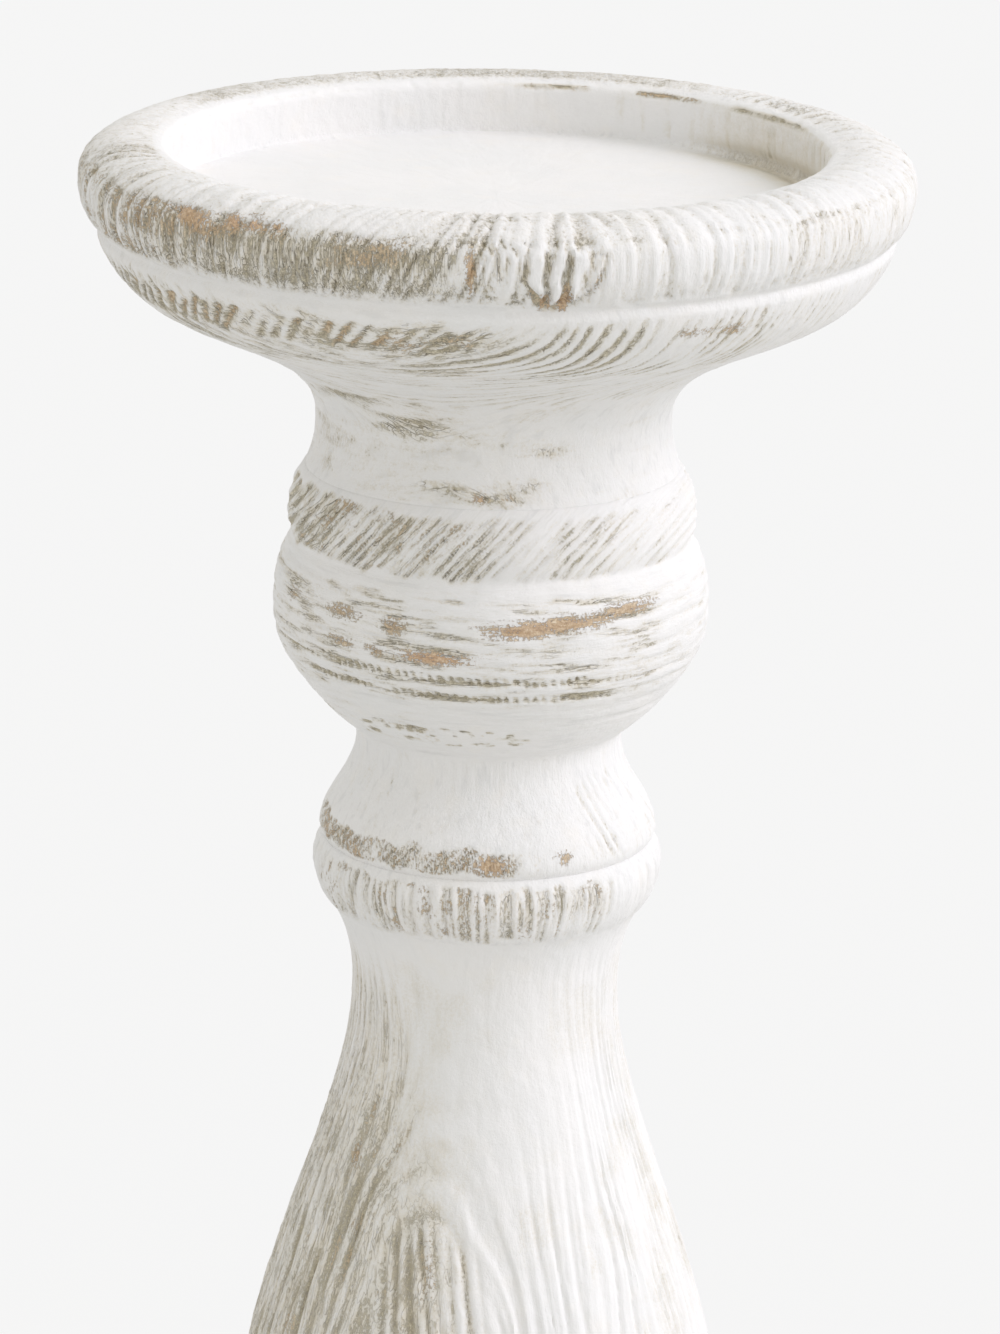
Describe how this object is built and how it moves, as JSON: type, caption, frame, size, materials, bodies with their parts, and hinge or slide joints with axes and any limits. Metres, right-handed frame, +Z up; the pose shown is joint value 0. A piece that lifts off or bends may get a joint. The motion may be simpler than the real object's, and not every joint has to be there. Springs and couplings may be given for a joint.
{
  "type": "candlestick",
  "caption": "Turned wooden candlestick with a wide recessed dish on a baluster stem and a round felted base, for a pillar candle.",
  "frame": {"origin": "middle of the base, on the table that the felt pads stand on", "axes": "+Z up along the turning axis, from the base to the candle dish; X and Y are level and equal, with one pad between each pair of them"},
  "size_m": [0.12, 0.12, 0.3002],
  "materials": {
    "whitewashed_wood": "wire-brushed wood under a thick warm white wash, rubbed through to brown at the edges",
    "beech_dowel": "plain fluted beech",
    "zinc_steel": "zinc plated",
    "felt": "brown wool felt"
  },
  "bodies": {
    "root": {"candle_dish": "whitewashed_wood", "upper_stem": "whitewashed_wood", "baluster": "whitewashed_wood", "base": "whitewashed_wood", "dish_dowel": "beech_dowel", "stem_dowel": "beech_dowel", "base_screw": "zinc_steel", "screw_washer": "zinc_steel", "felt_pad_1": "felt", "felt_pad_2": "felt", "felt_pad_3": "felt", "felt_pad_4": "felt"}
  },
  "joints": []
}
